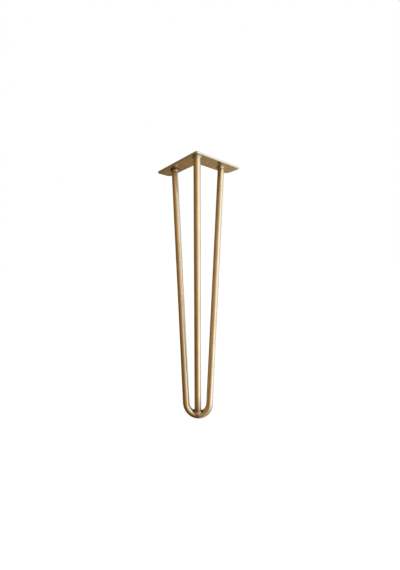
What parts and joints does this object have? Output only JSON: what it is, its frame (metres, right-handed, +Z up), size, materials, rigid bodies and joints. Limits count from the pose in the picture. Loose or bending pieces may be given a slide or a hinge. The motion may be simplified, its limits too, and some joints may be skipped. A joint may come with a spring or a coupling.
{
  "type": "hairpin table leg",
  "caption": "Three-rod hairpin table leg: a round bar bent into a hairpin and a straight corner bar, welded under a flat L-shaped screw plate.",
  "frame": {"origin": "on the plate's top face, where the centre lines of its two arms cross", "axes": "+Z up out of the plate's top face, away from the foot; +X and +Y along the plate's two arms"},
  "size_m": [0.1444, 0.1444, 0.457],
  "materials": {
    "gold_rod": "satin gold",
    "gold_plate": "satin gold",
    "gold_weld": "satin gold over weld metal"
  },
  "bodies": {
    "root": {"mounting_plate": "gold_plate", "hairpin_rod": "gold_rod", "corner_rod": "gold_rod", "left_weld": "gold_weld", "right_weld": "gold_weld", "corner_weld": "gold_weld", "foot_weld": "gold_weld"}
  },
  "joints": []
}
